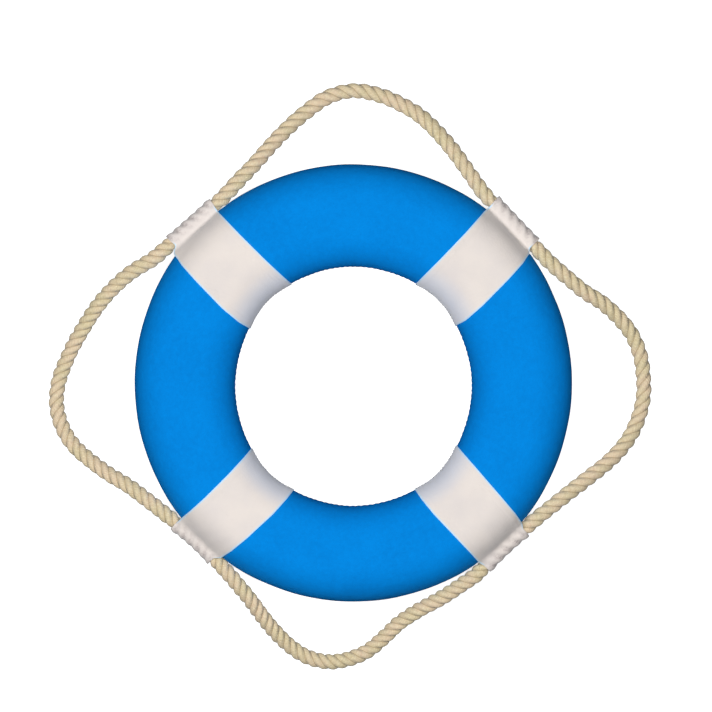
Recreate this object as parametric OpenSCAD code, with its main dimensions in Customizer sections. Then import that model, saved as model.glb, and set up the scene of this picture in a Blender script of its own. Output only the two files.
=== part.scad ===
// Ring lifebuoy: a foam ring in blue cloth, with four white cloth bands and a grab rope.
// It lies on its back. +Z is the ring's axis, +Y is its top, and z = 0 is the surface it lies on.

/* [Ring] */
// Outer diameter of the covered ring
ring_od = 350; // [340:2:360]
// Diameter of the hole through the covered ring
hole_d = 192; // [184:2:200]
// Thickness of the covered ring, back to front
ring_t = 60; // [50:1:62]

/* [Cloth] */
// Thickness of the cover and band cloth
cloth_t = 0.8; // [0.5:0.1:1]
// Space left between two layers that lie on each other
layer_gap = 0.2; // [0.1:0.1:0.4]
// Width of a band at the inner rim
band_w_in = 45; // [40:1:48]
// Width of a band over the middle of the tube
band_w_mid = 51; // [46:1:54]
// Width of a band where it goes over the rope
tunnel_w = 44; // [38:1:46]
// Diameter of the sewing thread
thread_d = 1; // [0.6:0.1:1.2]

/* [Band places] */
// Direction of the upper right band, in degrees from +X
upper_right_a = 43.5; // [40:0.5:48]
// Direction of the upper left band
upper_left_a = 136.5; // [132:0.5:140]
// Direction of the lower left band
lower_left_a = 226.5; // [222:0.5:230]
// Direction of the lower right band
lower_right_a = 313; // [310:0.5:318]

/* [Rope] */
// Diameter of the rope
rope_d = 12; // [10:0.5:12]
// Distance of the rope's runs from the ring's axis
run_r = 181.5; // [181.5:0.5:184]
// Turn of the run in the upper left band, in degrees from the tangent
upper_left_turn = -5; // [-5:0.5:0]
// Length of the tape round the rope's joint
tape_l = 30; // [20:1:36]

/* [Hidden] */
ring_r = ring_od / 2;
hole_r = hole_d / 2;
half_t = ring_t / 2;
tube_mid_r = (ring_r + hole_r) / 2;
flat_w = ring_r - hole_r - ring_t;       // the tube's front and back are flat over this width
rim_mid_r = tube_mid_r + flat_w / 2;     // centre of the outer rim's round
core_h = half_t - cloth_t - layer_gap;   // half thicknesses of the layers
cover_in_h = half_t - cloth_t;
band_in_h = half_t + layer_gap;
band_out_h = band_in_h + cloth_t;
mid_z = band_out_h;                      // the bands' backs lie on z = 0
slit_w = 0.4;                            // between the two edges that a seam closes
cover_end_a = 0.4;                       // angle from a band's centre to a cover's end

rope_r = rope_d / 2;
tape_t = 0.3;
tape_clear = 0.05;
tunnel_r = rope_r + 0.6;
run_flat = 6.6;                          // a run stops this far short of the bight's pivot
thread_r = thread_d / 2;
thread_clear = 0.15;
ring_fn = 180;
section_fn = 64;
rope_sides = 12;

// Each run's reach to the pivots on its clockwise and its counter-clockwise side
upper_right_reach = [38, 38];
upper_left_reach = [38, 38];
lower_left_reach = [32, 38];
lower_right_reach = [32, 38];

// The bights' centrelines, from pivot to pivot: they sink from mid height to lie on the surface
top_route = [
    [-103.5, 150.5, 31], [-92, 162.5, 29], [-79, 176, 24.5], [-66.5, 190.5, 18.5], [-52, 205.5, 12.5],
    [-37.5, 218.5, 8], [-20, 230.5, 6.3], [0, 235.5, 6.2], [19.5, 232.5, 6.3], [38, 225, 8],
    [55, 214.5, 12.5], [69, 201, 18.5], [81.5, 186, 24.5], [92.5, 170.5, 29], [105.5, 152.5, 31]
];
right_route = [
    [158, 97.5, 31], [171, 86, 29], [185.5, 74, 24.5], [200.5, 64.5, 18.5], [214, 52.5, 12.5],
    [225, 38.5, 8], [231.5, 22, 6.3], [234, 4, 6.2], [233.5, -14, 6.3], [228.5, -31.5, 8],
    [219.5, -48, 12.5], [206, -62.5, 18.5], [189, -76, 24.5], [170.5, -90.5, 29], [151.5, -107, 31]
];
bottom_route = [
    [100.5, -154.5, 31], [86, -163.5, 29], [69.5, -173.5, 24.5], [52.5, -182.5, 18.5], [38, -192, 12.5],
    [26, -203.5, 8], [12.5, -215, 6.3], [-4, -222, 6.2], [-21, -224, 6.2], [-37, -220, 6.5],
    [-50.5, -211.5, 8.5], [-62.5, -200, 13.5], [-73.5, -186.5, 20], [-84.5, -172, 27], [-97.5, -158, 31]
];
left_route = [
    [-148, -109.5, 31], [-163.5, -95.5, 29], [-179.5, -83, 24.5], [-196, -73, 18.5], [-211, -62, 12.5],
    [-224.5, -50, 8], [-234, -35, 6.3], [-238.5, -17, 6.2], [-236.5, 2, 6.3], [-230, 19.5, 8],
    [-221, 37.5, 12.5], [-209.5, 56, 18.5], [-195.5, 73.5, 24.5], [-179, 88.5, 29], [-160.5, 100, 31]
];

// ---- Profiles ----

// The tube's section at a half thickness h: flat front and back, half-round rims
module section(h) {
    for (side = [-1, 1])
        translate([tube_mid_r + side * flat_w / 2, 0]) circle(r = h, $fn = section_fn);
    translate([tube_mid_r - flat_w / 2, -h]) square([flat_w, 2 * h]);
}

module slit() {
    translate([hole_r - 3, -slit_w / 2]) square([6, slit_w]);
}

// A closed loop round the rim and the rope: two circles and the two lines that touch both
module rim_and_rope(h, r) {
    touch_a = acos((h - r) / (run_r - rim_mid_r));
    translate([rim_mid_r, 0]) circle(r = h, $fn = section_fn);
    translate([run_r, 0]) circle(r = r, $fn = section_fn);
    polygon([
        [rim_mid_r + h * cos(touch_a), h * sin(touch_a)],
        [run_r + r * cos(touch_a), r * sin(touch_a)],
        [run_r + r * cos(touch_a), -r * sin(touch_a)],
        [rim_mid_r + h * cos(touch_a), -h * sin(touch_a)]
    ]);
}

// A band's plan, across its direction
module band_outline() {
    half = [
        [hole_r - 12, band_w_in / 2], [hole_r + 6, band_w_in / 2], [tube_mid_r, band_w_mid / 2],
        [rim_mid_r + 20, band_w_mid / 2], [ring_r + 1, tunnel_w / 2], [run_r + 20, tunnel_w / 2]
    ];
    polygon([for (p = half) p, for (i = [len(half) - 1:-1:0]) [half[i][0], -half[i][1]]]);
}

// ---- Places ----

module at_band(angle) {
    translate([0, 0, mid_z]) rotate([0, 0, angle]) children();
}

// Local X, Y, Z become radial, tangential and up, turned about the middle of the run
module at_run(angle, turn) {
    at_band(angle) translate([run_r, 0, 0]) rotate([0, 0, turn]) children();
}

module arc(from, to) {
    at_band(from) rotate_extrude(angle = to - from, $fn = ring_fn) children();
}

// ---- Ring ----

module foam_core() {
    color("ivory") at_band(0) rotate_extrude($fn = ring_fn) section(core_h);
}

module cover(from, to) {
    color("dodgerblue") arc(from + cover_end_a, to - cover_end_a) difference() {
        section(half_t);
        section(cover_in_h);
        slit();
    }
}

module cover_seam(from, to) {
    r = hole_r - thread_r - thread_clear;
    edge_a = asin(band_w_in / 2 / r) + 1.2;
    color("royalblue") arc(from + edge_a, to - edge_a) translate([r, 0]) circle(r = thread_r, $fn = 24);
}

// ---- Bands ----

// All that lies inside a band's layer: the tube, and a straight prism from its rim to the rope
module wrapped(h, r, turn) {
    rotate_extrude($fn = ring_fn) section(h);
    translate([run_r, 0, 0]) rotate([0, 0, turn]) translate([-run_r, 0, 0])
        rotate([90, 0, 0]) linear_extrude(height = 2 * band_w_mid, center = true) rim_and_rope(h, r);
}

module band(angle, turn) {
    color("linen") at_band(angle) intersection() {
        translate([0, 0, -2 * half_t]) linear_extrude(height = 4 * half_t) band_outline();
        difference() {
            wrapped(band_out_h, tunnel_r + cloth_t, turn);
            wrapped(band_in_h, tunnel_r, turn);
            translate([hole_r - 6, -band_w_mid, -slit_w / 2]) cube([12, 2 * band_w_mid, slit_w]);
        }
    }
}

module band_seam(angle) {
    r = hole_r - layer_gap - cloth_t - thread_r - thread_clear;
    half_a = asin(band_w_in / 2 / r) - 1.2;
    color("white") arc(angle - half_a, angle + half_a) translate([r, 0]) circle(r = thread_r, $fn = 24);
}

// ---- Rope ----

// A straight stretch of rope along the band's tunnel, from one distance to another
module run_piece(from, to) {
    translate([0, from, 0]) rotate([-90, 0, 0]) cylinder(r = rope_r, h = to - from, $fn = section_fn);
}

module rope_run(angle, turn, reach) {
    color("burlywood") at_run(angle, turn) run_piece(run_flat - reach[0], reach[1] - run_flat);
}

// The run that holds the joint: the rope's two ends butt in the middle of the tunnel
module jointed_run(angle, turn, reach) {
    color("burlywood") at_run(angle, turn) {
        run_piece(run_flat - reach[0], -0.15);
        run_piece(0.15, reach[1] - run_flat);
    }
}

module rope_joint_tape(angle, turn) {
    color("wheat") at_run(angle, turn) rotate([90, 0, 0]) difference() {
        cylinder(r = rope_r + tape_clear + tape_t, h = tape_l, center = true, $fn = section_fn);
        cylinder(r = rope_r + tape_clear, h = tape_l + 2, center = true, $fn = section_fn);
    }
}

function unit(v) = v / norm(v);

function heading(route, i) =
    unit(route[min(i + 1, len(route) - 1)] - route[max(i - 1, 0)]);

function ring_at(centre, along, r) =
    let (across = unit(cross([0, 0, 1], along)), up = cross(along, across))
    [for (k = [0:rope_sides - 1])
        centre + r * (cos(360 * k / rope_sides) * across + sin(360 * k / rope_sides) * up)];

// Rings that close a rope's end with a round cap, as angles from the end's widest ring
cap_a = [80, 45];

function bight_rings(route) =
    let (last = len(route) - 1, first_h = heading(route, 0), last_h = heading(route, last))
    concat(
        [for (a = cap_a) ring_at(route[0] - rope_r * sin(a) * first_h, first_h, rope_r * cos(a))],
        [for (i = [0:last]) ring_at(route[i], heading(route, i), rope_r)],
        [for (i = [1, 0])
            ring_at(route[last] + rope_r * sin(cap_a[i]) * last_h, last_h, rope_r * cos(cap_a[i]))]
    );

module rope_bight(route) {
    rings = bight_rings(route);
    n = rope_sides;
    faces = [
        [for (k = [n - 1:-1:0]) k],
        for (i = [0:len(rings) - 2], k = [0:n - 1])
            each [
                [i * n + k, i * n + (k + 1) % n, (i + 1) * n + (k + 1) % n],
                [i * n + k, (i + 1) * n + (k + 1) % n, (i + 1) * n + k]
            ],
        [for (k = [0:n - 1]) (len(rings) - 1) * n + k]
    ];
    color("burlywood") polyhedron(points = [for (ring = rings) each ring], faces = faces);
}

foam_core();
cover(upper_right_a, upper_left_a);  // cover_top
cover(upper_left_a, lower_left_a);  // cover_left
cover(lower_left_a, lower_right_a);  // cover_bottom
cover(lower_right_a, upper_right_a + 360);  // cover_right
cover_seam(upper_right_a, upper_left_a);  // cover_seam_top
cover_seam(upper_left_a, lower_left_a);  // cover_seam_left
cover_seam(lower_left_a, lower_right_a);  // cover_seam_bottom
cover_seam(lower_right_a, upper_right_a + 360);  // cover_seam_right
band(upper_right_a, 0);  // band_upper_right
band(upper_left_a, upper_left_turn);  // band_upper_left
band(lower_left_a, 0);  // band_lower_left
band(lower_right_a, 0);  // band_lower_right
band_seam(upper_right_a);  // band_seam_upper_right
band_seam(upper_left_a);  // band_seam_upper_left
band_seam(lower_left_a);  // band_seam_lower_left
band_seam(lower_right_a);  // band_seam_lower_right
rope_run(upper_right_a, 0, upper_right_reach);  // rope_run_upper_right
rope_run(upper_left_a, upper_left_turn, upper_left_reach);  // rope_run_upper_left
jointed_run(lower_left_a, 0, lower_left_reach);  // rope_run_lower_left
rope_run(lower_right_a, 0, lower_right_reach);  // rope_run_lower_right
rope_joint_tape(lower_left_a, 0);
rope_bight(top_route);  // rope_bight_top
rope_bight(left_route);  // rope_bight_left
rope_bight(bottom_route);  // rope_bight_bottom
rope_bight(right_route);  // rope_bight_right
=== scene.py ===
import math

import bpy
import numpy as np
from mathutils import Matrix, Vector


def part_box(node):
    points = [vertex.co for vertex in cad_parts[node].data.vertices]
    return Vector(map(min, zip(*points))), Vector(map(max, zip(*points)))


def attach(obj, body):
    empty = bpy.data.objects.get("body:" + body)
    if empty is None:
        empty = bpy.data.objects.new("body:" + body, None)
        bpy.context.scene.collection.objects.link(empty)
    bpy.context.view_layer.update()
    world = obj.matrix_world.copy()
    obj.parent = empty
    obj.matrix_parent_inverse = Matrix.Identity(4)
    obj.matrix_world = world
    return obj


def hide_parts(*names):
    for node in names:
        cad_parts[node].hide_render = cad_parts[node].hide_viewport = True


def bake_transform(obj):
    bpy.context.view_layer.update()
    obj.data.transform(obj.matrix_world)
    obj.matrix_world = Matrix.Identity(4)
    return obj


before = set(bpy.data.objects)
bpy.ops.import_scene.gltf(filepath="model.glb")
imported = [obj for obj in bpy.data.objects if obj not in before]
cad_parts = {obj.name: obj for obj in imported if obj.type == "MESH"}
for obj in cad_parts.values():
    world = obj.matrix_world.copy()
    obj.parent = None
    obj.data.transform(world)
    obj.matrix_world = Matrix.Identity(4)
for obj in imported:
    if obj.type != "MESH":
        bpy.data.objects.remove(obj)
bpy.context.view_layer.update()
mm = 0.001
cm = 0.01
scene = bpy.context.scene
sides = ["upper_right", "upper_left", "lower_left", "lower_right"]  # the bands, counter-clockwise


def nodeAngle(name):
    middle = np.array([v.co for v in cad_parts[name].data.vertices], float).mean(0)
    return math.atan2(middle[1], middle[0])


# sizes of the ring: the first four are read off the frame
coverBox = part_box("cover_right")
ring = {
    "outer": coverBox[1].x,
    "half": (coverBox[1].z - coverBox[0].z) / 2,
    "middle": (coverBox[1].z + coverBox[0].z) / 2,
    "hole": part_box("cover_seam_right")[1].x + 0.15 * mm,  # the seam stands this far in from the rim
    "cloth": 0.8 * mm,
    "gap": 0.2 * mm,  # between a cover and the band over it
}
ring["innerMid"] = ring["hole"] + ring["half"]  # middles of the two half-round rims
ring["outerMid"] = ring["outer"] - ring["half"]
ring["flat"] = ring["outerMid"] - ring["innerMid"]
bandAngle = {side: nodeAngle("band_seam_" + side) for side in sides}
print("frame loaded", {k: round(v, 5) for k, v in ring.items()})


# ---- camera, light and floor ----

cameraSpec = {"lens": 600, "sensor": 36, "span": 0.5717, "aimX": 0.0026, "aimY": 0.022}


def makeCamera(spec):
    data = bpy.data.cameras.new("camera")
    data.lens, data.sensor_width = spec["lens"], spec["sensor"]
    far = spec["span"] * spec["lens"] / spec["sensor"]
    camera = bpy.data.objects.new("camera", data)
    camera.location = (spec["aimX"], spec["aimY"], ring["middle"] + far)
    scene.collection.objects.link(camera)
    scene.camera = camera


lightSpec = {
    "key": {"place": (-1.5, 0.2, 3.2), "size": 1.0, "power": 40},
    "front": {"place": (0.1, 0.0, 3.7), "size": 0.8, "power": 100},
}


def makeLights(spec):
    for name, one in spec.items():
        data = bpy.data.lights.new(name, "AREA")
        data.size, data.energy = one["size"], one["power"]
        lamp = bpy.data.objects.new(name, data)
        lamp.location = one["place"]
        lamp.rotation_euler = (-Vector(one["place"])).to_track_quat("-Z", "Y").to_euler()
        scene.collection.objects.link(lamp)


worldSpec = {"seen": (1, 1, 1, 1), "light": (0.045, 0.05, 0.058, 1)}


def makeWorld(spec):
    world = bpy.data.worlds.new("studio")
    world.use_nodes = True
    tree = world.node_tree
    tree.nodes.clear()
    out = tree.nodes.new("ShaderNodeOutputWorld")
    mix = tree.nodes.new("ShaderNodeMixShader")
    ray = tree.nodes.new("ShaderNodeLightPath")
    for socket, colour in ((1, spec["light"]), (2, spec["seen"])):
        glow = tree.nodes.new("ShaderNodeBackground")
        glow.inputs["Color"].default_value = colour
        tree.links.new(glow.outputs[0], mix.inputs[socket])
    tree.links.new(ray.outputs["Is Camera Ray"], mix.inputs[0])
    tree.links.new(mix.outputs[0], out.inputs[0])
    scene.world = world


def makeFloor(half=30.0, below=0.3 * mm):
    mesh = bpy.data.meshes.new("floor")
    corners = [(-half, -half, -below), (half, -half, -below), (half, half, -below), (-half, half, -below)]
    mesh.from_pydata(corners, [], [(0, 1, 2, 3)])
    floor = bpy.data.objects.new("floor", mesh)
    scene.collection.objects.link(floor)
    material, tree, shader = newMaterial("paleFloor")
    shader.inputs["Base Color"].default_value = (0.9, 0.9, 0.9, 1)
    shader.inputs["Roughness"].default_value = 0.9
    shader.inputs["Emission Color"].default_value = (1, 1, 1, 1)
    shader.inputs["Emission Strength"].default_value = 0.75
    mesh.materials.append(material)
    floor.visible_diffuse = False
    floor.visible_glossy = False


# ---- small helpers for nodes and meshes ----

def newMaterial(name):
    material = bpy.data.materials.new(name)
    material.use_nodes = True
    tree = material.node_tree
    tree.nodes.clear()
    out = tree.nodes.new("ShaderNodeOutputMaterial")
    shader = tree.nodes.new("ShaderNodeBsdfPrincipled")
    tree.links.new(shader.outputs[0], out.inputs[0])
    return material, tree, shader


def addNode(tree, kind, inputs=None, **settings):
    node = tree.nodes.new(kind)
    for key, value in settings.items():
        setattr(node, key, value)
    for key, value in (inputs or {}).items():
        if isinstance(value, bpy.types.NodeSocket):
            tree.links.new(value, node.inputs[key])
        else:
            node.inputs[key].default_value = value
    return node


def calc(tree, operation, *values):
    node = addNode(tree, "ShaderNodeMath", operation=operation)
    for i, value in enumerate(values):
        if isinstance(value, bpy.types.NodeSocket):
            tree.links.new(value, node.inputs[i])
        else:
            node.inputs[i].default_value = value
    return node.outputs[0]


def mixColour(tree, share, first, second, blend="MIX"):
    node = addNode(tree, "ShaderNodeMix", data_type="RGBA", blend_type=blend)
    for index, value in ((0, share), (6, first), (7, second)):
        if isinstance(value, bpy.types.NodeSocket):
            tree.links.new(value, node.inputs[index])
        elif index:
            node.inputs[index].default_value = (*value, 1)
        else:
            node.inputs[index].default_value = value
    return node.outputs[2]


def spread(tree, value, low, high, toLow=0.0, toHigh=1.0):
    node = addNode(tree, "ShaderNodeMapRange", {0: value, 1: low, 2: high, 3: toLow, 4: toHigh})
    return node.outputs[0]


def linkBump(tree, shader, height, strength, distance, under=None):
    bump = addNode(tree, "ShaderNodeBump", {"Height": height, "Strength": strength, "Distance": distance})
    if under is not None:
        tree.links.new(under.outputs[0], bump.inputs["Normal"])
    tree.links.new(bump.outputs[0], shader.inputs["Normal"])
    return bump


def newPiece(name, mesh, material):
    piece = bpy.data.objects.new(name, mesh)
    scene.collection.objects.link(piece)
    mesh.materials.clear()
    mesh.materials.append(material)
    mesh.shade_smooth()
    return piece


def gridMesh(name, points, uv, marks=None):
    rows, columns = points.shape[:2]
    index = np.arange(rows * columns).reshape(rows, columns)
    corners = (index[:-1, :-1], index[1:, :-1], index[1:, 1:], index[:-1, 1:])
    faces = np.stack(corners, axis=-1).reshape(-1, 4)
    mesh = bpy.data.meshes.new(name)
    mesh.from_pydata(points.reshape(-1, 3).tolist(), [], faces.tolist())
    layer = mesh.uv_layers.new(name="clothUv")
    layer.data.foreach_set("uv", uv.reshape(-1, 2)[faces.ravel()].astype(np.float32).ravel())
    for key, values in (marks or {}).items():
        mark = mesh.attributes.new(key, "FLOAT", "POINT")
        mark.data.foreach_set("value", values.astype(np.float32).ravel())
    mesh.update()
    return mesh


def thicken(piece, thickness):
    solid = piece.modifiers.new("thickness", "SOLIDIFY")
    solid.thickness, solid.offset = thickness, -1
    solid.use_rim = True
    return piece


def smoothStep(low, high, value):
    share = np.clip((value - low) / (high - low), 0, 1)
    return share * share * (3 - 2 * share)


# ---- how the stuffed ring settles ----

settleSpec = {
    "hole": -0.9 * mm,           # the hole's rim against its nominal radius
    "shift": (0.15 * mm, -2.7 * mm),  # the hole sits a little off the ring's middle
    "oval": -0.56 * mm,          # the hole is a little narrower across than down
    "swell": 0.3 * mm,           # the whole ring's cloth stands this much proud of its nominal radius
    "lean": (0.45 * mm, 0.4 * mm),  # and sits this far off the centre in x and y
    "cinch": 2.6 * mm,           # each band squeezes the hole's rim outwards by this much
    "cinchWidth": math.radians(11),  # to either side of the band's middle
    "press": {                   # how far each band draws the rope in towards the ring
        "upper_right": 0.1 * mm, "upper_left": 0.4 * mm,
        "lower_left": 4.0 * mm, "lower_right": 3.1 * mm},
    "pressWidth": 40 * mm,       # how far from a band's middle the rope is drawn in
    "ropeSide": (164 * mm, 177 * mm),  # radii between which a band goes over from the tube to the rope
    "dentFrom": 155 * mm,        # only the skin outside this radius can be dented,
    "dentHeight": 12 * mm,       # and only this near to the middle of the tube's height
    "dentPasses": 4,
    "dentPush": 1.15,            # each pass moves the skin this share of what is still missing
}


def settle(points, whole=1, spec=settleSpec):
    # moves the hole's rim, and less and less of it out to the outer rim, then leans the whole ring
    radius = np.hypot(points[..., 0], points[..., 1])
    angle = np.arctan2(points[..., 1], points[..., 0])
    move = spec["hole"] + spec["shift"][0] * np.cos(angle) + spec["shift"][1] * np.sin(angle)
    move = move + spec["oval"] * np.cos(2 * angle)
    for side in sides:
        off = (angle - bandAngle[side] + math.pi) % (2 * math.pi) - math.pi
        move = move + spec["cinch"] * np.exp(-0.5 * (off / spec["cinchWidth"]) ** 2)
    share = np.clip((ring["outer"] - radius) / (ring["outer"] - ring["hole"]), 0, 1.05)
    grown = 1 + (move * share + spec["swell"] * whole) / radius
    x, y = (points[..., i] * grown + spec["lean"][i] * whole for i in (0, 1))
    return np.stack([x, y, points[..., 2]], axis=-1)


def pressIn(points, spec=settleSpec):
    # draws the rope towards the ring where a band holds it
    points = points.copy()
    for side in sides:
        middle = runMiddle(side)
        reach = np.linalg.norm(points - middle, axis=1)
        inward = -middle * (1, 1, 0) / np.linalg.norm(middle[:2])
        points += inward * (spec["press"][side] * np.exp(-((reach / spec["pressWidth"]) ** 2)))[:, None]
    return points


def dent(points, clear, spec=settleSpec):
    # the tube's skin gives way wherever the rope's surface lies closer to it than this
    points = points.copy()
    flatPoints = points.reshape(-1, 3)
    outside = np.hypot(flatPoints[:, 0], flatPoints[:, 1]) > spec["dentFrom"]
    level = np.abs(flatPoints[:, 2] - ring["middle"]) < spec["dentHeight"]
    near = np.nonzero(outside & level)[0]
    lines = {name: ropeLine(name)[0] for name in bightRoute}
    rope = np.vstack([line[::3] for line in lines.values()])
    shares = [pinched(name, line)[::3] for name, line in lines.items()]
    size = ropeSpec["crown"] * np.concatenate(shares)
    for _ in range(spec["dentPasses"]):
        skin = flatPoints[near]
        apart = np.sqrt(((skin[:, None, :] - rope[None, :, :]) ** 2).sum(axis=2))
        gap = (apart - size[None, :]).min(axis=1)
        inward = -skin * (1, 1, 0) / np.hypot(skin[:, 0], skin[:, 1])[:, None]
        flatPoints[near] += inward * (np.maximum(clear - gap, 0) * spec["dentPush"])[:, None]
    return points


# ---- rope ----

# the bights' centrelines in mm, from pivot to pivot, as in the CAD source
bightRoute = {
    "top": [
        (-103.5, 150.5, 31), (-92, 162.5, 29), (-79, 176, 24.5), (-66.5, 190.5, 18.5), (-52, 205.5, 12.5),
        (-37.5, 218.5, 8), (-20, 230.5, 6.3), (0, 235.5, 6.2), (19.5, 232.5, 6.3), (38, 225, 8),
        (55, 214.5, 12.5), (69, 201, 18.5), (81.5, 186, 24.5), (92.5, 170.5, 29), (105.5, 152.5, 31)],
    "right": [
        (158, 97.5, 31), (171, 86, 29), (185.5, 74, 24.5), (200.5, 64.5, 18.5), (214, 52.5, 12.5),
        (225, 38.5, 8), (231.5, 22, 6.3), (234, 4, 6.2), (233.5, -14, 6.3), (228.5, -31.5, 8),
        (219.5, -48, 12.5), (206, -62.5, 18.5), (189, -76, 24.5), (170.5, -90.5, 29), (151.5, -107, 31)],
    "bottom": [
        (100.5, -154.5, 31), (86, -163.5, 29), (69.5, -173.5, 24.5), (52.5, -182.5, 18.5), (38, -192, 12.5),
        (26, -203.5, 8), (12.5, -215, 6.3), (-4, -222, 6.2), (-21, -224, 6.2), (-37, -220, 6.5),
        (-50.5, -211.5, 8.5), (-62.5, -200, 13.5), (-73.5, -186.5, 20), (-84.5, -172, 27), (-97.5, -158, 31)],
    "left": [
        (-148, -109.5, 31), (-163.5, -95.5, 29), (-179.5, -83, 24.5), (-196, -73, 18.5), (-211, -62, 12.5),
        (-224.5, -50, 8), (-234, -35, 6.3), (-238.5, -17, 6.2), (-236.5, 2, 6.3), (-230, 19.5, 8),
        (-221, 37.5, 12.5), (-209.5, 56, 18.5), (-195.5, 73.5, 24.5), (-179, 88.5, 29), (-160.5, 100, 31)],
}
pitchUnder = {"upper_right": "top", "upper_left": "left", "lower_left": "bottom", "lower_right": "right"}
bightEnds = {  # the bands that a bight runs between, first to last
    "top": ("upper_left", "upper_right"), "right": ("upper_right", "lower_right"),
    "bottom": ("lower_right", "lower_left"), "left": ("lower_left", "upper_left"),
}
runOf = {"top": "upper_right", "left": "upper_left", "bottom": "lower_left", "right": "lower_right"}
ropeSpec = {
    "diameter": 12 * mm,
    "crown": 6.4 * mm,       # how far the strands' crowns stand from the centreline
    "floorGap": 0.1 * mm,    # the crowns stay this far above zero height
    "runRadius": 181.5 * mm,
    "pitch": {"top": 27.3 * mm, "right": 27 * mm, "bottom": 22 * mm, "left": 23.7 * mm},  # a strand's turn
    "strand": 0.64,          # a strand's radius, as a share of the crown's
    "pinch": 0.83,           # its thickness inside a band, as a share of the full thickness
    "pinchEnd": (0.5 * mm, 5 * mm),  # it thickens from this far inside a band's mouth to this far outside
    "pointsPerStrand": 40,
    "ringStep": 0.55 * mm,
    "yarns": 11,             # yarns round one strand
    "yarnRise": 0.26 * mm,
    "bendIn": 11 * mm,       # the bend starts this far inside the line between the pivots
    "bendOut": 15 * mm,
}


def curveThrough(points, step, perSpan=24):
    # a cubic through the points, whose heading at each one is its neighbours' chord, then even steps
    points = np.array(points, float)
    heading = np.gradient(points, axis=0)
    dense = []
    for i in range(len(points) - 1):
        t = np.linspace(0, 1, perSpan, endpoint=False)[:, None]
        dense.append(
            points[i] * (2 * t**3 - 3 * t**2 + 1) + heading[i] * (t**3 - 2 * t**2 + t)
            + points[i + 1] * (3 * t**2 - 2 * t**3) + heading[i + 1] * (t**3 - t**2))
    dense = np.vstack([*dense, points[-1:]])
    along = np.concatenate([[0], np.cumsum(np.linalg.norm(np.diff(dense, axis=0), axis=1))])
    even = np.linspace(0, along[-1], int(along[-1] / step) + 1)
    return np.stack([np.interp(even, along, dense[:, k]) for k in range(3)], axis=1), along[-1]


def runMiddle(side):
    angle = bandAngle[side]
    radius = ropeSpec["runRadius"]
    return np.array([radius * math.cos(angle), radius * math.sin(angle), ring["middle"]])


def ropePath(name):
    first, last = (runMiddle(side) for side in bightEnds[name])
    route = np.array(bightRoute[name]) * mm
    return [first, (2 * first + route[0]) / 3, (first + 2 * route[0]) / 3, *route,
            (last + 2 * route[-1]) / 3, (2 * last + route[-1]) / 3, last]


def ropeLine(name, spec=ropeSpec):
    path, length = curveThrough(ropePath(name), spec["ringStep"])
    path = pressIn(path)
    path[:, 2] = np.maximum(path[:, 2], spec["crown"] + spec["floorGap"])
    return path, length


def pinched(name, path, spec=ropeSpec):
    # the share of its full thickness that the rope has along its length: the bands' cloth squeezes it
    along = np.concatenate([[0], np.cumsum(np.linalg.norm(np.diff(path, axis=0), axis=1))])
    first, last = bightEnds[name]
    share = np.ones(len(path))
    mouths = (bandSpec[first]["cw"][-1] * mm, bandSpec[last]["ccw"][-1] * mm)
    for reach, mouth in zip((along, along[-1] - along), mouths):
        out = smoothStep(mouth - spec["pinchEnd"][0], mouth + spec["pinchEnd"][1], reach)
        share = np.minimum(share, spec["pinch"] + (1 - spec["pinch"]) * out)
    return share


def strandProfile(spec):
    # three round strands that press into each other, as one closed outline
    radius = spec["crown"]
    strand = radius * spec["strand"]
    centre = radius - strand
    reach = centre * math.cos(math.pi / 3) + math.sqrt(strand**2 - (centre * math.sin(math.pi / 3)) ** 2)
    meet = math.atan2(reach * math.sin(math.pi / 3), reach * math.cos(math.pi / 3) - centre)
    count = spec["pointsPerStrand"]
    outline = []
    for lobe in range(3):
        turn = lobe * 2 * math.pi / 3
        for i in range(count):
            angle = meet * (2 * i / count - 1)
            x, y = centre + strand * math.cos(angle), strand * math.sin(angle)
            cos, sin = math.cos(turn), math.sin(turn)
            outline.append((x * cos - y * sin, x * sin + y * cos, 0))
    return outline, meet


def polyCurve(name, points, cyclic=False, sizes=None):
    data = bpy.data.curves.new(name, "CURVE")
    data.dimensions = "3D"
    data.twist_mode = "MINIMUM"
    line = data.splines.new("POLY")
    line.points.add(len(points) - 1)
    for i, place in enumerate(points):
        line.points[i].co = (*place, 1)
        line.points[i].radius = 1 if sizes is None else sizes[i]
    line.use_cyclic_u = cyclic
    curve = bpy.data.objects.new(name, data)
    scene.collection.objects.link(curve)
    return curve


def newTree(name, sockets):
    tree = bpy.data.node_groups.new(name, "GeometryNodeTree")
    tree.interface.new_socket("Geometry", in_out="INPUT", socket_type="NodeSocketGeometry")
    tree.interface.new_socket("Geometry", in_out="OUTPUT", socket_type="NodeSocketGeometry")
    for label, kind in sockets:
        tree.interface.new_socket(label, in_out="INPUT", socket_type="NodeSocket" + kind)
    return tree, tree.nodes.new("NodeGroupInput"), tree.nodes.new("NodeGroupOutput")


def applyTree(piece, tree, values, name, material):
    grow = piece.modifiers.new(tree.name, "NODES")
    grow.node_group = tree
    for item in tree.interface.items_tree:
        if item.in_out == "INPUT" and item.name in values:
            grow[item.identifier] = values[item.name]
    graph = bpy.context.evaluated_depsgraph_get()
    mesh = bpy.data.meshes.new_from_object(piece.evaluated_get(graph), depsgraph=graph)
    mesh.name = name
    piece.modifiers.remove(grow)
    return newPiece(name, mesh, material)


def dropObject(piece):
    bpy.data.objects.remove(piece, do_unlink=True)


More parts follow.
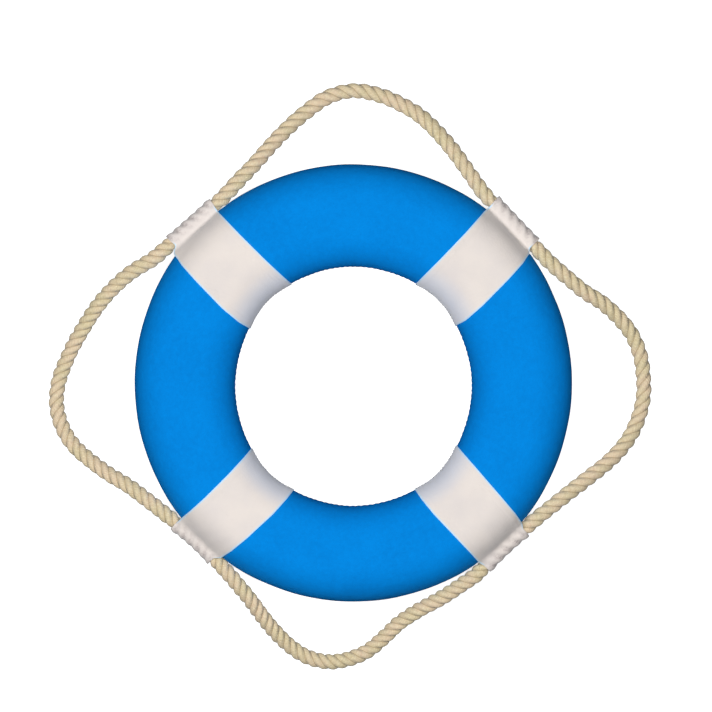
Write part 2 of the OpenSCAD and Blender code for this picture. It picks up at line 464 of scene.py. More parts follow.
def layTree():
    # sweeps the three-strand outline along a curve, turning it once in each pitch
    tree, given, out = newTree("ropeLay", [
        ("Profile", "Object"), ("Pitch", "Float"), ("Yarns", "Float"), ("Yarn rise", "Float"),
        ("Meet angle", "Float"), ("Yarn turn", "Float"), ("Material", "Material")])
    outline = addNode(tree, "GeometryNodeObjectInfo", {"Object": given.outputs["Profile"]})
    profileShare = addNode(tree, "GeometryNodeSplineParameter")
    keepRound = addNode(tree, "GeometryNodeCaptureAttribute", {
        "Geometry": outline.outputs["Geometry"]}, domain="POINT")
    keepRound.capture_items.new("FLOAT", "round")
    tree.links.new(profileShare.outputs["Factor"], keepRound.inputs["round"])
    lengthwise = addNode(tree, "GeometryNodeSplineParameter")
    keepLength = addNode(tree, "GeometryNodeCaptureAttribute", {
        "Geometry": given.outputs["Geometry"]}, domain="POINT")
    keepLength.capture_items.new("FLOAT", "along")
    tree.links.new(lengthwise.outputs["Length"], keepLength.inputs["along"])
    along = keepLength.outputs["along"]
    turns = calc(tree, "DIVIDE", along, given.outputs["Pitch"])
    tilt = calc(tree, "MULTIPLY", turns, 2 * math.pi)
    turned = addNode(tree, "GeometryNodeSetCurveTilt", {
        "Curve": keepLength.outputs["Geometry"], "Tilt": tilt})
    thickness = addNode(tree, "GeometryNodeInputRadius")
    body = addNode(tree, "GeometryNodeCurveToMesh", {
        "Curve": turned.outputs[0], "Profile Curve": keepRound.outputs["Geometry"],
        "Scale": thickness.outputs[0], "Fill Caps": True})
    share = calc(tree, "FRACT", calc(tree, "MULTIPLY", keepRound.outputs["round"], 3))
    across = calc(tree, "SUBTRACT", calc(tree, "MULTIPLY", share, 2), 1)  # -1 to 1 over one strand
    crown = calc(tree, "SUBTRACT", 1, calc(tree, "POWER", calc(tree, "ABSOLUTE", across), 6))
    angle = calc(tree, "MULTIPLY", across, given.outputs["Meet angle"])
    slide = calc(tree, "MULTIPLY", tilt, given.outputs["Yarn turn"])
    phase = calc(tree, "MULTIPLY", calc(tree, "ADD", angle, slide), given.outputs["Yarns"])
    ridge = calc(tree, "ABSOLUTE", calc(tree, "COSINE", calc(tree, "DIVIDE", phase, 2)))
    wander = addNode(tree, "ShaderNodeTexNoise", {"Scale": 60.0, "Detail": 2.0})
    swell = calc(tree, "MULTIPLY", calc(tree, "SUBTRACT", wander.outputs[0], 0.5), 0.9 * mm)
    rise = calc(tree, "MULTIPLY", calc(tree, "SUBTRACT", ridge, 0.8), given.outputs["Yarn rise"])
    lift = calc(tree, "MULTIPLY", calc(tree, "ADD", rise, swell), crown)
    normal = addNode(tree, "GeometryNodeInputNormal")
    push = addNode(tree, "ShaderNodeVectorMath", {0: normal.outputs[0]}, operation="SCALE")
    tree.links.new(lift, push.inputs["Scale"])
    moved = addNode(tree, "GeometryNodeSetPosition", {
        "Geometry": body.outputs[0], "Offset": push.outputs[0]})
    last = moved.outputs[0]
    # groove: how near a strand's edge a point lies; the rope's colour paints shade there
    marks = {"yarn": calc(tree, "DIVIDE", phase, 2 * math.pi), "along": along,
             "groove": calc(tree, "POWER", calc(tree, "ABSOLUTE", across), 3)}
    for name, value in marks.items():
        mark = addNode(tree, "GeometryNodeStoreNamedAttribute", {
            "Geometry": last, "Name": name}, data_type="FLOAT")
        tree.links.new(value, mark.inputs["Value"])
        last = mark.outputs[0]
    coat = addNode(tree, "GeometryNodeSetMaterial", {
        "Geometry": last, "Material": given.outputs["Material"]})
    real = addNode(tree, "GeometryNodeRealizeInstances", {"Geometry": coat.outputs[0]})
    tree.links.new(real.outputs[0], out.inputs[0])
    return tree


def cottonRope():
    material, tree, shader = newMaterial("cottonRope")
    place = addNode(tree, "ShaderNodeTexCoord").outputs["Object"]
    yarn = addNode(tree, "ShaderNodeAttribute", attribute_name="yarn").outputs["Fac"]
    along = addNode(tree, "ShaderNodeAttribute", attribute_name="along").outputs["Fac"]
    groove = addNode(tree, "ShaderNodeAttribute", attribute_name="groove").outputs["Fac"]
    patch = addNode(tree, "ShaderNodeTexNoise", {"Vector": place, "Scale": 55.0, "Detail": 3.0})
    streak = addNode(tree, "ShaderNodeCombineXYZ")
    tree.links.new(calc(tree, "MULTIPLY", yarn, 1.7), streak.inputs[0])
    tree.links.new(calc(tree, "MULTIPLY", along, 120), streak.inputs[1])
    fibre = addNode(tree, "ShaderNodeTexNoise", {"Vector": streak.outputs[0], "Scale": 3.0, "Detail": 5.0})
    warmth = spread(tree, patch.outputs[0], 0.38, 0.62)
    warm = mixColour(tree, warmth, (0.57, 0.47, 0.265), (0.66, 0.48, 0.33))
    light = mixColour(tree, spread(tree, fibre.outputs[0], 0.35, 0.7), warm, (0.84, 0.74, 0.51))
    # painted shade: the rope turns darker brown towards each strand's edges, where the strands meet in the
    # grooves
    grooveShade = mixColour(tree, spread(tree, groove, 0.55, 1.0, 0.0, 0.8), light, (0.40, 0.30, 0.17))
    tree.links.new(grooveShade, shader.inputs["Base Color"])
    shader.inputs["Roughness"].default_value = 0.92
    shader.inputs["Specular IOR Level"].default_value = 0.2
    shader.inputs["Sheen Weight"].default_value = 0.25
    shader.inputs["Sheen Roughness"].default_value = 0.5
    twist = calc(tree, "ABSOLUTE", calc(tree, "COSINE", calc(tree, "MULTIPLY", yarn, math.pi)))
    coarse = linkBump(tree, shader, twist, 0.5, 0.25 * mm)
    linkBump(tree, shader, fibre.outputs[0], 0.6, 0.2 * mm, coarse)
    return material


def makeRope(spec):
    material = cottonRope()
    outline, meet = strandProfile(spec)
    profile = polyCurve("strandOutline", outline, True)
    tree = layTree()
    ropes = {}
    for name in bightRoute:
        path, length = ropeLine(name)
        curve = polyCurve("centreline", path, sizes=pinched(name, path))
        rope = applyTree(curve, tree, {
            "Profile": profile, "Pitch": spec["pitch"][name], "Yarns": float(spec["yarns"]),
            "Yarn rise": spec["yarnRise"], "Meet angle": meet, "Yarn turn": 1.9, "Material": material,
        }, "grab_rope_" + name, material)
        dropObject(curve)
        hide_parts("rope_bight_" + name, "rope_run_" + runOf[name])
        bendRope(rope, name)
        ropes[name] = rope
        print("rope", name, round(length, 4), "m", len(rope.data.polygons), "faces")
    dropObject(profile)
    return ropes


def bendRope(piece, name):
    first, last = (Vector(bightRoute[name][i]) * mm for i in (0, -1))
    outward = (last - first).cross(Vector((0, 0, 1))).normalized()
    if outward.dot(first) < 0:
        outward.negate()
    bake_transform(piece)


# ---- cloth ----

weaveSpec = {"blue": {"threads": 17.0, "rise": 0.1 * mm}, "white": {"threads": 15.0, "rise": 0.11 * mm}}


def weaveBump(tree, shader, spec):
    # a plain weave: warp and weft cross over and under; the cloth's UV is in centimetres
    uv = addNode(tree, "ShaderNodeUVMap", uv_map="clothUv")
    part = addNode(tree, "ShaderNodeSeparateXYZ", {0: uv.outputs[0]})
    turns = [calc(tree, "MULTIPLY", part.outputs[i], spec["threads"] * math.pi) for i in (0, 1)]
    wave = [calc(tree, "SINE", turn) for turn in turns]
    cross = calc(tree, "MULTIPLY", wave[0], wave[1])
    slub = addNode(tree, "ShaderNodeTexNoise", {"Vector": uv.outputs[0], "Scale": 5.0, "Detail": 4.0})
    weave = linkBump(tree, shader, cross, 0.55, spec["rise"])
    linkBump(tree, shader, slub.outputs[0], 0.35, 0.4 * mm, weave)
    return uv.outputs[0], cross


def blueCanvas():
    material, tree, shader = newMaterial("blueCanvas")
    uv, cross = weaveBump(tree, shader, weaveSpec["blue"])
    place = addNode(tree, "ShaderNodeTexCoord").outputs["Object"]
    blotch = addNode(tree, "ShaderNodeTexNoise", {"Vector": place, "Scale": 26.0, "Detail": 3.0})
    mottle = addNode(tree, "ShaderNodeTexNoise", {
        "Vector": uv, "Scale": 2.2, "Detail": 5.0, "Roughness": 0.7})
    dye = mixColour(tree, spread(tree, blotch.outputs[0], 0.3, 0.7), (0.0, 0.212, 0.66), (0.0, 0.242, 0.74))
    wearAndShade = mixColour(tree, spread(tree, mottle.outputs[0], 0.35, 0.75, 0.0, 0.6), dye, (0.0, 0.285, 0.86))
    fleck = addNode(tree, "ShaderNodeTexNoise", {
        "Vector": uv, "Scale": 9.0, "Detail": 4.0, "Roughness": 0.8})
    dark = mixColour(tree, spread(tree, fleck.outputs[0], 0.5, 0.75, 0.0, 0.5), wearAndShade, (0.0, 0.16, 0.52))
    thread = mixColour(tree, spread(tree, cross, -1.0, 1.0, 0.0, 0.16), dark, (0.0, 0.14, 0.5))
    tree.links.new(thread, shader.inputs["Base Color"])
    shader.inputs["Roughness"].default_value = 0.9
    shader.inputs["Specular IOR Level"].default_value = 0.06
    return material


def whiteCanvas():
    material, tree, shader = newMaterial("whiteCanvas")
    uv, cross = weaveBump(tree, shader, weaveSpec["white"])
    place = addNode(tree, "ShaderNodeTexCoord").outputs["Object"]
    edge = addNode(tree, "ShaderNodeAttribute", attribute_name="edge").outputs["Fac"]
    blotch = addNode(tree, "ShaderNodeTexNoise", {"Vector": place, "Scale": 34.0, "Detail": 4.0})
    # painted shade over the rope under the band, darker in the strands' grooves and on its outer side, broken
    # by speckles of grime
    shadeAndGrime = addNode(tree, "ShaderNodeAttribute", attribute_name="shadeAndGrime").outputs["Fac"]
    tone = spread(tree, blotch.outputs[0], 0.36, 0.64)
    cream = mixColour(tree, tone, (0.765, 0.70, 0.665), (0.82, 0.745, 0.69))
    thread = mixColour(tree, spread(tree, cross, -1.0, 1.0, 0.0, 0.14), cream, (0.55, 0.53, 0.52))
    speckle = addNode(tree, "ShaderNodeTexNoise", {
        "Vector": place, "Scale": 420.0, "Detail": 3.0, "Roughness": 0.7})
    shadeAndDirt = calc(tree, "MULTIPLY", shadeAndGrime, spread(tree, speckle.outputs[0], 0.4, 0.66, 0.15, 0.85))
    # grey-brown: painted shade with speckled grime
    withShadeAndGrime = mixColour(tree, shadeAndDirt, thread, (0.40, 0.34, 0.33))
    # painted shade: bluish grey towards the hole, standing in for the shade and blue light there
    blueShade = addNode(tree, "ShaderNodeAttribute", attribute_name="blueShade").outputs["Fac"]
    blueShaded = mixColour(tree, blueShade, withShadeAndGrime, (0.70, 0.76, 0.88))
    # painted highlight: a pale blue line along the band's sides, where the folded hem would catch the light
    hem = mixColour(tree, edge, blueShaded, (0.56, 0.78, 0.95))
    tree.links.new(hem, shader.inputs["Base Color"])
    shader.inputs["Roughness"].default_value = 0.88
    shader.inputs["Specular IOR Level"].default_value = 0.2
    shader.inputs["Sheen Weight"].default_value = 0.5
    shader.inputs["Sheen Roughness"].default_value = 0.5
    return material


def tubeSection(share, half):
    # the tube's outline, from the inner rim over the front: radius from the axis, height, and angle
    quarter = ring["half"] * math.pi / 2
    flat = ring["flat"]
    s = share * (4 * quarter + 2 * flat)
    knots = [0, quarter, quarter + flat, 3 * quarter + flat, 3 * quarter + 2 * flat, 4 * quarter + 2 * flat]
    angle = np.interp(s, knots, [math.pi, math.pi / 2, math.pi / 2, -math.pi / 2, -math.pi / 2, -math.pi])
    centre = np.interp(s, knots, [ring["innerMid"]] * 2 + [ring["outerMid"]] * 2 + [ring["innerMid"]] * 2)
    return centre + half * np.cos(angle), half * np.sin(angle), angle


coverSpec = {
    "columns": 150, "rows": 118, "endGap": math.radians(0.4), "seamGap": 0.2 * mm,
    "seamDip": 0.9 * mm, "seamWidth": 1.3 * mm,
    "puckerStep": math.radians(2.6), "puckerDepth": 0.35 * mm, "puckerReach": 9 * mm,
    "puckerStart": (24 * mm, 34 * mm),  # from a band's middle: where puckers and lumps come in
    "lump": 0.3 * mm, "rimSlim": 0.3 * mm, "bandDip": 1.0 * mm,
    "bandReach": (9.5 * mm, 13 * mm),  # from a band's middle, along the hole's rim: where the dip ends
    "ropeGap": 1.25 * mm,
}


def makeCover(name, first, last, spec, material):
    # one quarter's cloth, stretched over the foam from band to band, its long edges sewn on the inner rim
    if last < first:
        last += 2 * math.pi
    turn = np.linspace(first + spec["endGap"], last - spec["endGap"], spec["columns"])
    girth = 2 * math.pi * ring["half"] + 2 * ring["flat"]
    share = np.linspace(spec["seamGap"] / girth, 1 - spec["seamGap"] / girth, spec["rows"])
    aroundRing, aroundTube = np.meshgrid(turn, share, indexing="ij")
    toSeam = np.minimum(aroundTube, 1 - aroundTube) * girth
    fromBand = np.minimum(aroundRing - first, last - aroundRing) * ring["hole"]
    clearOfBand = smoothStep(*spec["puckerStart"], fromBand)
    pucker = 0.5 + 0.5 * np.cos(2 * math.pi * aroundRing / spec["puckerStep"] + 1.3 * np.sin(7 * aroundRing))
    sink = spec["puckerDepth"] * pucker * np.exp(-((toSeam / spec["puckerReach"]) ** 2)) * clearOfBand
    sink += spec["seamDip"] * np.exp(-((toSeam / spec["seamWidth"]) ** 2))
    broad = np.sin(5.3 * aroundRing + 11 * aroundTube) * np.sin(13 * aroundRing - 9 * aroundTube)
    soft = broad + 0.5 * np.sin(29 * aroundRing + 4 * aroundTube)
    sink += spec["lump"] * (0.5 + 0.33 * soft) * clearOfBand
    radius, height, angle = tubeSection(aroundTube, ring["half"])
    atRope = smoothStep(*settleSpec["ropeSide"], radius)
    underBand = atRope * (1 - smoothStep(*spec["bandReach"], fromBand))
    sink += spec["rimSlim"] * np.abs(np.cos(angle)) + spec["bandDip"] * underBand
    radius, height = radius - sink * np.cos(angle), height - sink * np.sin(angle)
    x, y = radius * np.cos(aroundRing), radius * np.sin(aroundRing)
    points = np.stack([x, y, ring["middle"] + height], axis=-1)
    points = dent(settle(points, 1 - underBand), spec["ropeGap"])
    uv = np.stack([aroundRing * ring["innerMid"] / cm, aroundTube * girth / cm], axis=-1)
    piece = newPiece("cover_cloth_" + name, gridMesh(name, points, uv), material)
    thicken(piece, ring["cloth"])
    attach(piece, "ring")
    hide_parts("cover_" + name)
    return piece


# each band's edges, in mm from its middle line, at these radii; "turn" is how the rope slants under it
bandRadii = (96, 104, 121, 150, 166, 174.5, 177.5, 187)
bandSpec = {
    "upper_right": {
        "ccw": (23.3, 23.6, 24.0, 25.3, 26.7, 27.5, 27.3, 28.2),
        "cw": (23.6, 25.8, 26.5, 25.4, 24.0, 22.0, 19.2, 19.0), "turn": 0.0},
    "upper_left": {
        "ccw": (26.0, 28.0, 29.2, 27.7, 26.3, 23.8, 17.7, 17.8),
        "cw": (23.7, 23.3, 23.1, 23.7, 24.5, 25.4, 26.0, 28.2), "turn": math.radians(-5)},
    "lower_left": {
        "ccw": (23.6, 24.5, 25.2, 23.6, 21.7, 19.8, 15.4, 15.2),
        "cw": (22.4, 22.0, 21.9, 22.9, 24.2, 25.4, 25.7, 25.7), "turn": 0.0},
    "lower_right": {
        "ccw": (25.8, 25.5, 25.1, 24.2, 23.6, 23.0, 20.4, 20.2),
        "cw": (21.4, 22.8, 24.1, 24.2, 24.2, 24.0, 22.6, 22.3), "turn": 0.0},
}
bandShape = {
    "rows": 300, "columns": 64,
    "tunnel": 7.2 * mm,      # outer radius of the cloth round the rope
    "seamGap": 0.2 * mm,
    "groove": 6 * mm,        # how far the crease beside the rope is rounded,
    "groovePasses": 30,      # in this many passes
    # edgeHighlight: the width of the painted highlight along the band's sides
    "hem": 5.5 * mm, "hemRise": 0.25 * mm, "hemSlope": 0.8 * mm, "edgeHighlight": 1.4 * mm,
    "straight": (171 * mm, 177 * mm),  # radii between which the cloth goes over to following the rope
    "strandRise": 0.8 * mm,
    "strandsShow": (-4 * mm, 1 * mm),  # from the rope's centreline: where the strands begin to show
    "wrinkle": 0.3 * mm, "wrinkleWaves": (2.6 * mm, 7.1 * mm, 9 * mm),
    "nearGroove": (170 * mm, 9 * mm),  # wrinkles gather round this radius, over this width,
    "nearHole": 12 * mm,               # and this near to the hole's rim
    "blueShade": (118 * mm, 99 * mm),       # radii between which a painted bluish shade comes in towards the hole
    "shadeReach": 6 * mm,                  # how far past the rope's centreline the painted shade over the rope is darkest
}


def bandLoop(shape, press):
    # the band's outline at its middle, from the inner rim over the front, round the rope and back
    half = ring["half"] + ring["gap"] + ring["cloth"]
    run, wrap = ropeSpec["runRadius"] - press, shape["tunnel"]
    apart = run - ring["outerMid"]
    meet = (apart**2 + half**2 - wrap**2) / (2 * apart)  # where the cloth round the tube meets the rope's
    tubeAngle, ropeAngle = math.acos(meet / half), math.acos((meet - apart) / wrap)
    inner = np.linspace(math.pi, math.pi / 2, 60)
    outer = np.linspace(math.pi / 2, tubeAngle, 60)
    around = np.linspace(ropeAngle, 0, 50)[1:]
    upper = np.vstack([
        np.stack([ring["innerMid"] + half * np.cos(inner), half * np.sin(inner)], axis=1),
        np.stack([ring["outerMid"] + half * np.cos(outer), half * np.sin(outer)], axis=1),
        np.stack([run + wrap * np.cos(around), wrap * np.sin(around)], axis=1)])
    loop = np.vstack([upper, upper[-2::-1] * (1, -1)])
    along = np.concatenate([[0], np.cumsum(np.linalg.norm(np.diff(loop, axis=0), axis=1))])
    even = np.linspace(shape["seamGap"], along[-1] - shape["seamGap"], shape["rows"])
    loop = np.stack([np.interp(even, along, loop[:, k]) for k in (0, 1)], axis=1)
    crease = np.array([ring["outerMid"] + meet, half * math.sin(tubeAngle)])
    toCrease = np.minimum(*(np.linalg.norm(loop - crease * (1, k), axis=1) for k in (1, -1)))
    ease = 0.5 * np.exp(-((toCrease / shape["groove"]) ** 2))[1:-1, None]
    for _ in range(shape["groovePasses"]):
        loop[1:-1] += ease * ((loop[:-2] + loop[2:]) / 2 - loop[1:-1])
    return loop, along[-1]


def makeBand(side, spec, shape, material):
    press = settleSpec["press"][side]
    loop, girth = bandLoop(shape, press)
    radius, height = loop[:, 0], loop[:, 1]
    edges = []
    for key in ("ccw", "cw"):
        edge = np.interp(radius, np.array(bandRadii) * mm, np.array(spec[key]) * mm)
        for _ in range(3):
            edge[1:-1] += 0.5 * ((edge[:-2] + edge[2:]) / 2 - edge[1:-1])
        edges.append(edge[:, None])
    halfWidth, shift = (edges[0] + edges[1]) / 2, (edges[0] - edges[1]) / 2
    v = np.linspace(-1, 1, shape["columns"])[None, :]
    v = np.sin(v * math.pi / 2) * 0.4 + v * 0.6  # closer together at the edges
    t = shift + v * halfWidth
    toEdge = (1 - np.abs(v)) * halfWidth
    straight = smoothStep(*shape["straight"], radius)[:, None]
    curved = np.sqrt(radius[:, None] ** 2 - t**2)
    pressed = press * (np.exp(-((t / settleSpec["pressWidth"]) ** 2)) - 1)
    x = (1 - straight) * curved + straight * (radius[:, None] - pressed - t * math.tan(spec["turn"]))
    z = np.repeat(height[:, None], t.shape[1], axis=1)
    heading = np.gradient(loop, axis=0)
    heading /= np.linalg.norm(heading, axis=1)[:, None]
    outX, outZ = -heading[:, 1:2], heading[:, 0:1]
    middle = (ring["outerMid"] + ring["innerMid"]) / 2
    if (outX[:, 0] * (radius - middle) + outZ[:, 0] * height).mean() < 0:
        outX, outZ = -outX, -outZ
    rope = ropeSpec["runRadius"] - press
    roundRope = np.arctan2(height, radius - rope)[:, None]
    strands = np.cos(3 * (roundRope + 2 * math.pi * t / ropeSpec["pitch"][pitchUnder[side]]))
    onRope = smoothStep(*(rope + off for off in shape["strandsShow"]), radius)[:, None]
    lift = shape["strandRise"] * 0.5 * (strands - 0.6) * onRope
    hem, slope = shape["hem"], shape["hemSlope"]
    lift = lift + shape["hemRise"] * smoothStep(hem + slope, hem - slope, toEdge)
    nearGroove = np.exp(-(((radius - shape["nearGroove"][0]) / shape["nearGroove"][1]) ** 2))[:, None]
    nearHole = np.exp(-(((radius - ring["hole"]) / shape["nearHole"]) ** 2))[:, None]
    angle = bandAngle[side]  # where the band sits, which also makes its wrinkles its own
    waves = shape["wrinkleWaves"]
    fine = np.sin(t / waves[0] + 3 * angle)
    crease = fine * np.sin(t / waves[1] + 5 * angle + radius[:, None] / waves[2])
    lift = lift + shape["wrinkle"] * crease * (0.75 * nearGroove + 0.5 * nearHole)
    x, z = x + outX * lift, z + outZ * lift
    points = settle(np.stack([
        x * math.cos(angle) - t * math.sin(angle), x * math.sin(angle) + t * math.cos(angle),
        ring["middle"] + z], axis=-1), 1 - smoothStep(*settleSpec["ropeSide"], radius)[:, None])
    along = np.linspace(0, girth, len(radius))[:, None] + 0 * t
    uv = np.stack([t / cm, along / cm], axis=-1)
    # painted highlight: mask of a thin pale line along each side of the band, off the rope
    edge = (1 - smoothStep(0.5 * shape["edgeHighlight"], 1.1 * shape["edgeHighlight"], toEdge)) * (1 - onRope)
    # painted shade: share of the bluish tint, rising towards the hole
    blueShade = 0.6 * smoothStep(*shape["blueShade"], radius)[:, None] + 0 * t
    # painted shade over the rope: strongest in the grooves between strands and past the rope's centreline;
    # the material adds speckled grime
    wearAndShade = 0.4 + 0.6 * smoothStep(rope, rope + shape["shadeReach"], radius)[:, None]
    shadeAndGrime = onRope * wearAndShade * (0.75 - 0.5 * strands)
    marks = {"edge": edge, "shadeAndGrime": shadeAndGrime, "blueShade": blueShade}
    piece = newPiece("band_cloth_" + side, gridMesh(side, points, uv, marks), material)
    thicken(piece, ring["cloth"])
    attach(piece, "ring")
    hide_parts("band_" + side)
    return piece


# ---- seams ----

seamSpec = {
    "cover": {"step": 3.2 * mm, "across": 4.2 * mm, "thread": 0.7 * mm, "rise": 0.3, "slant": 1.1 * mm,
              "sunk": 1.3 * mm, "endGap": math.radians(9), "points": 200},
    "band": {"step": 2.6 * mm, "across": 4.0 * mm, "thread": 0.6 * mm, "rise": 0.3, "slant": 1.0 * mm,
             "sunk": 0.55 * mm, "endGap": 1.5, "points": 60},  # this gap in mm, like the edges in bandSpec
}


def stitchTree():
    # whip stitches: bowed lengths of thread that cross a seam, slanting a little, with even steps along it
    tree, given, out = newTree("whipStitch", [
        ("Step", "Float"), ("Across", "Float"), ("Thread", "Float"), ("Rise", "Float"), ("Seed", "Int"),
        ("Material", "Material")])
    line = addNode(tree, "GeometryNodeMeshToCurve", {"Mesh": given.outputs["Geometry"]})
    even = addNode(tree, "GeometryNodeResampleCurve", {
        "Curve": line.outputs[0], "Length": given.outputs["Step"]}, mode="LENGTH")
    bow = addNode(tree, "GeometryNodeCurveArc", {"Resolution": 8, "Sweep Angle": math.pi})
    tree.links.new(calc(tree, "DIVIDE", given.outputs["Across"], 2), bow.inputs["Radius"])
    flat = addNode(tree, "ShaderNodeCombineXYZ", {0: 1.0, 2: 1.0})
    tree.links.new(given.outputs["Rise"], flat.inputs[1])
    low = addNode(tree, "GeometryNodeTransform", {"Geometry": bow.outputs[0], "Scale": flat.outputs[0]})
    threadRound = addNode(tree, "GeometryNodeCurvePrimitiveCircle", {"Resolution": 6})
    tree.links.new(calc(tree, "DIVIDE", given.outputs["Thread"], 2), threadRound.inputs["Radius"])
    thread = addNode(tree, "GeometryNodeCurveToMesh", {
        "Curve": low.outputs[0], "Profile Curve": threadRound.outputs[0], "Fill Caps": True})
    outward = addNode(tree, "GeometryNodeInputNamedAttribute", {"Name": "outward"}, data_type="FLOAT_VECTOR")
    across = addNode(tree, "GeometryNodeInputNamedAttribute", {"Name": "across"}, data_type="FLOAT_VECTOR")
    turn = addNode(tree, "FunctionNodeAxesToRotation", primary_axis="Y", secondary_axis="X")
    tree.links.new(outward.outputs["Attribute"], turn.inputs[0])
    tree.links.new(across.outputs["Attribute"], turn.inputs[1])
    uneven = addNode(tree, "FunctionNodeRandomValue", {2: 0.85, 3: 1.12, "Seed": given.outputs["Seed"]})
    copies = addNode(tree, "GeometryNodeInstanceOnPoints", {
        "Points": even.outputs[0], "Instance": thread.outputs[0], "Rotation": turn.outputs[0]})
    tree.links.new(uneven.outputs[1], copies.inputs["Scale"])
    real = addNode(tree, "GeometryNodeRealizeInstances", {"Geometry": copies.outputs[0]})
    coat = addNode(tree, "GeometryNodeSetMaterial", {
        "Geometry": real.outputs[0], "Material": given.outputs["Material"]})
    tree.links.new(coat.outputs[0], out.inputs[0])
    return tree


def seamLine(name, places, outward, across):
    mesh = bpy.data.meshes.new(name)
    mesh.from_pydata(places.tolist(), [(i, i + 1) for i in range(len(places) - 1)], [])
    for key, values in (("outward", outward), ("across", across)):
        mark = mesh.attributes.new(key, "FLOAT_VECTOR", "POINT")
        mark.data.foreach_set("vector", values.astype(np.float32).ravel())
    line = bpy.data.objects.new(name, mesh)
    scene.collection.objects.link(line)
    return line


def sewSeam(name, node, places, outward, across, tree, spec, material, seed):
    line = seamLine("line", places, outward, across)
    thread = applyTree(line, tree, {
        "Step": spec["step"], "Across": spec["across"], "Thread": spec["thread"], "Rise": spec["rise"],
        "Seed": seed, "Material": material}, name, material)
    dropObject(line)
    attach(thread, "ring")
    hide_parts(node)
    print("seam", name, len(thread.data.polygons), "faces")


def sewSeams(covers, bands, blueThread, whiteThread):
    tree = stitchTree()
    up = np.array([0.0, 0.0, 1.0])
    for number, (name, (first, last)) in enumerate(covers.items()):
        if last < first:
            last += 2 * math.pi
        spec = seamSpec["cover"]
        turn = np.linspace(first + spec["endGap"], last - spec["endGap"], spec["points"])
        radial = np.stack([np.cos(turn), np.sin(turn), 0 * turn], axis=1)
        ahead = np.stack([-np.sin(turn), np.cos(turn), 0 * turn], axis=1)
        places = settle(radial * (ring["hole"] + spec["sunk"]) + up * ring["middle"])
        slanted = up * spec["across"] + ahead * spec["slant"]
        sewSeam("cover_stitches_" + name, "cover_seam_" + name, places, -radial, slanted, tree, spec,
                blueThread, number)
    for number, side in enumerate(bands):
        angle, spec = bandAngle[side], seamSpec["band"]
        low, high = -bandSpec[side]["cw"][0] + spec["endGap"], bandSpec[side]["ccw"][0] - spec["endGap"]
        t = np.linspace(low, high, spec["points"]) * mm
        half = ring["half"] + ring["gap"] + ring["cloth"]
        x = np.sqrt((ring["innerMid"] - half + spec["sunk"]) ** 2 - t**2)
        cos, sin = math.cos(angle), math.sin(angle)
        places = np.stack([x * cos - t * sin, x * sin + t * cos, 0 * t + ring["middle"]], axis=1)
        radial = places * (1, 1, 0) / np.linalg.norm(places[:, :2], axis=1)[:, None]
        ahead = np.stack([-radial[:, 1], radial[:, 0], 0 * t], axis=1)
        slanted = up * spec["across"] + ahead * spec["slant"]
        sewSeam("band_stitches_" + side, "band_seam_" + side, settle(places), -radial, slanted, tree, spec,
                whiteThread, number + 10)


def sewingThread(name, colour, dark):
    material, tree, shader = newMaterial(name)
    place = addNode(tree, "ShaderNodeTexCoord").outputs["Object"]
    ply = addNode(tree, "ShaderNodeTexWave", {"Vector": place, "Scale": 380.0, "Distortion": 1.5})
    tint = mixColour(tree, ply.outputs[1], dark, colour)
    tree.links.new(tint, shader.inputs["Base Color"])
    shader.inputs["Roughness"].default_value = 0.6
    shader.inputs["Specular IOR Level"].default_value = 0.35
    linkBump(tree, shader, ply.outputs[1], 0.5, 0.1 * mm)
    return material


# ---- what the cloth hides ----

foamSpec = {"under": 1.2 * mm, "ropeGap": 2.9 * mm, "columns": 260, "rows": 96,
            "outerDip": 0.9 * mm, "dipFrom": 165 * mm}  # the outer rim is this much slimmer


def beadFoam():
    material, tree, shader = newMaterial("beadFoam")
    place = addNode(tree, "ShaderNodeTexCoord").outputs["Object"]
    beads = addNode(tree, "ShaderNodeTexVoronoi", {"Vector": place, "Scale": 330.0})
    pale = mixColour(tree, spread(tree, beads.outputs[0], 0.0, 0.7), (0.9, 0.9, 0.88), (0.72, 0.72, 0.7))
    tree.links.new(pale, shader.inputs["Base Color"])
    shader.inputs["Roughness"].default_value = 0.7
    shader.inputs["Subsurface Weight"].default_value = 0.1
    linkBump(tree, shader, calc(tree, "SUBTRACT", 1, beads.outputs[0]), 0.5, 0.5 * mm)
    return material


def closedRing(name, points):
    # a surface that closes on itself both ways
    rows, columns = points.shape[:2]
    index = np.arange(rows * columns).reshape(rows, columns)
    nextRow, nextColumn = np.roll(index, -1, axis=0), np.roll(index, -1, axis=1)
    faces = np.stack([index, nextRow, np.roll(nextRow, -1, axis=1), nextColumn], axis=-1).reshape(-1, 4)
    mesh = bpy.data.meshes.new(name)
    mesh.from_pydata(points.reshape(-1, 3).tolist(), [], faces.tolist())
    mesh.update()
    return mesh


def makeFoam(spec):
    turn = np.linspace(0, 2 * math.pi, spec["columns"], endpoint=False)
    share = np.linspace(0, 1, spec["rows"], endpoint=False)
    aroundRing, aroundTube = np.meshgrid(turn, share, indexing="ij")
    radius, height, angle = tubeSection(aroundTube, ring["half"] - ring["cloth"] - spec["under"])
    x, y = radius * np.cos(aroundRing), radius * np.sin(aroundRing)
    points = np.stack([x, y, ring["middle"] + height], axis=-1)
    points = dent(settle(points), spec["ropeGap"])
    radial = np.stack([np.cos(aroundRing), np.sin(aroundRing), 0 * aroundRing], axis=-1)
    outside = np.hypot(points[..., 0], points[..., 1]) > spec["dipFrom"]
    points = points - radial * (spec["outerDip"] * outside)[..., None]
    material = beadFoam()
    piece = newPiece("foam_ring", closedRing("foam_ring", points), material)
    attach(piece, "ring")
    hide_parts("foam_core")
    return piece


tapeSpec = {
    "length": 24 * mm, "inside": 5.55 * mm, "thick": 0.2 * mm, "turns": 3.5,
    "around": 40, "rings": 90,
}


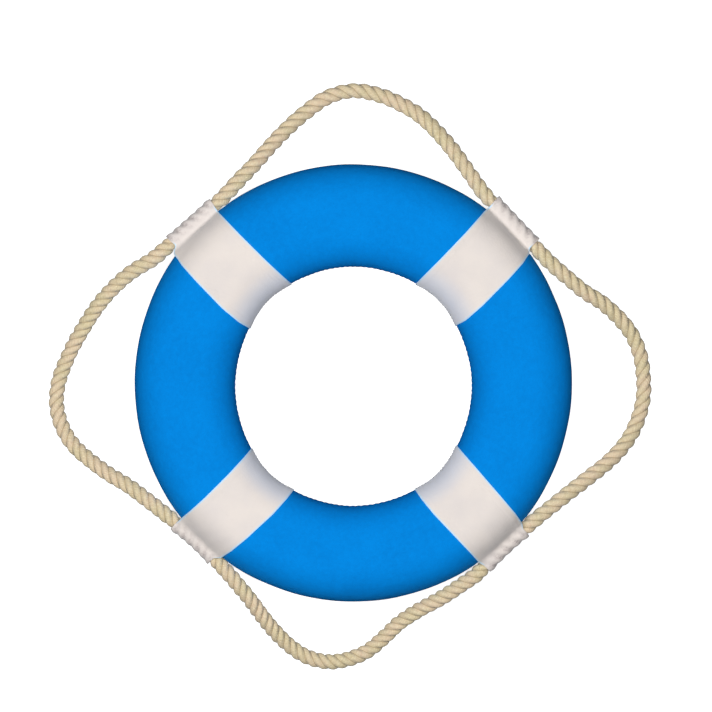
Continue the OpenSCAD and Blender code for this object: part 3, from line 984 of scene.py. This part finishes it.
def makeTape(spec):
    # a wrap of cloth tape round the rope's two ends, with each turn lapping the last
    material, tree, shader = newMaterial("clothTape")
    place = addNode(tree, "ShaderNodeTexCoord").outputs["Object"]
    weave = addNode(tree, "ShaderNodeTexWave", {"Vector": place, "Scale": 260.0})
    tint = mixColour(tree, weave.outputs[1], (0.55, 0.54, 0.5), (0.72, 0.71, 0.67))
    tree.links.new(tint, shader.inputs["Base Color"])
    shader.inputs["Roughness"].default_value = 0.7
    linkBump(tree, shader, weave.outputs[1], 0.4, 0.1 * mm)
    middle = runMiddle("lower_left")
    inward = -middle * (1, 1, 0) / np.linalg.norm(middle[:2])
    ahead = np.array([-inward[1], inward[0], 0])
    up = np.array([0.0, 0.0, 1.0])
    along = np.linspace(-0.5, 0.5, spec["rings"]) * spec["length"]
    turns = np.linspace(0, 2 * math.pi, spec["around"], endpoint=False)
    lengthwise, around = np.meshgrid(along, turns, indexing="ij")
    lap = ((lengthwise / spec["length"] + 0.5) * spec["turns"] - around / (2 * math.pi)) % 1
    press = settleSpec["press"]["lower_left"] * np.exp(-((lengthwise / settleSpec["pressWidth"]) ** 2))
    layers = [spec["inside"] + spec["thick"] * (1 + lap), spec["inside"] + 0 * lengthwise]
    rows = []
    for radius in layers:
        out = -inward * (radius * np.cos(around))[..., None] + up * (radius * np.sin(around))[..., None]
        rows.append(middle + ahead * lengthwise[..., None] + inward * press[..., None] + out)
    points = np.concatenate([rows[0], rows[1][::-1]], axis=0)
    piece = newPiece("rope_tape", closedRing("rope_tape", points), material)
    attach(piece, "ring")
    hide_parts("rope_joint_tape")
    return piece


makeCamera(cameraSpec)
makeLights(lightSpec)
makeWorld(worldSpec)
makeFloor()
ropes = makeRope(ropeSpec)
makeFoam(foamSpec)
makeTape(tapeSpec)
blue, white = blueCanvas(), whiteCanvas()
quarters = {"top": (0, 1), "left": (1, 2), "bottom": (2, 3), "right": (3, 0)}
quarters = {name: (bandAngle[sides[i]], bandAngle[sides[j]]) for name, (i, j) in quarters.items()}
for name, (first, last) in quarters.items():
    makeCover(name, first, last, coverSpec, blue)
for side in sides:
    makeBand(side, bandSpec[side], bandShape, white)
sewSeams(quarters, sides, sewingThread("blueThread", (0.0, 0.2, 0.62), (0.0, 0.1, 0.35)),
         sewingThread("whiteThread", (0.8, 0.78, 0.74), (0.55, 0.53, 0.5)))

scene.view_settings.view_transform = "Standard"
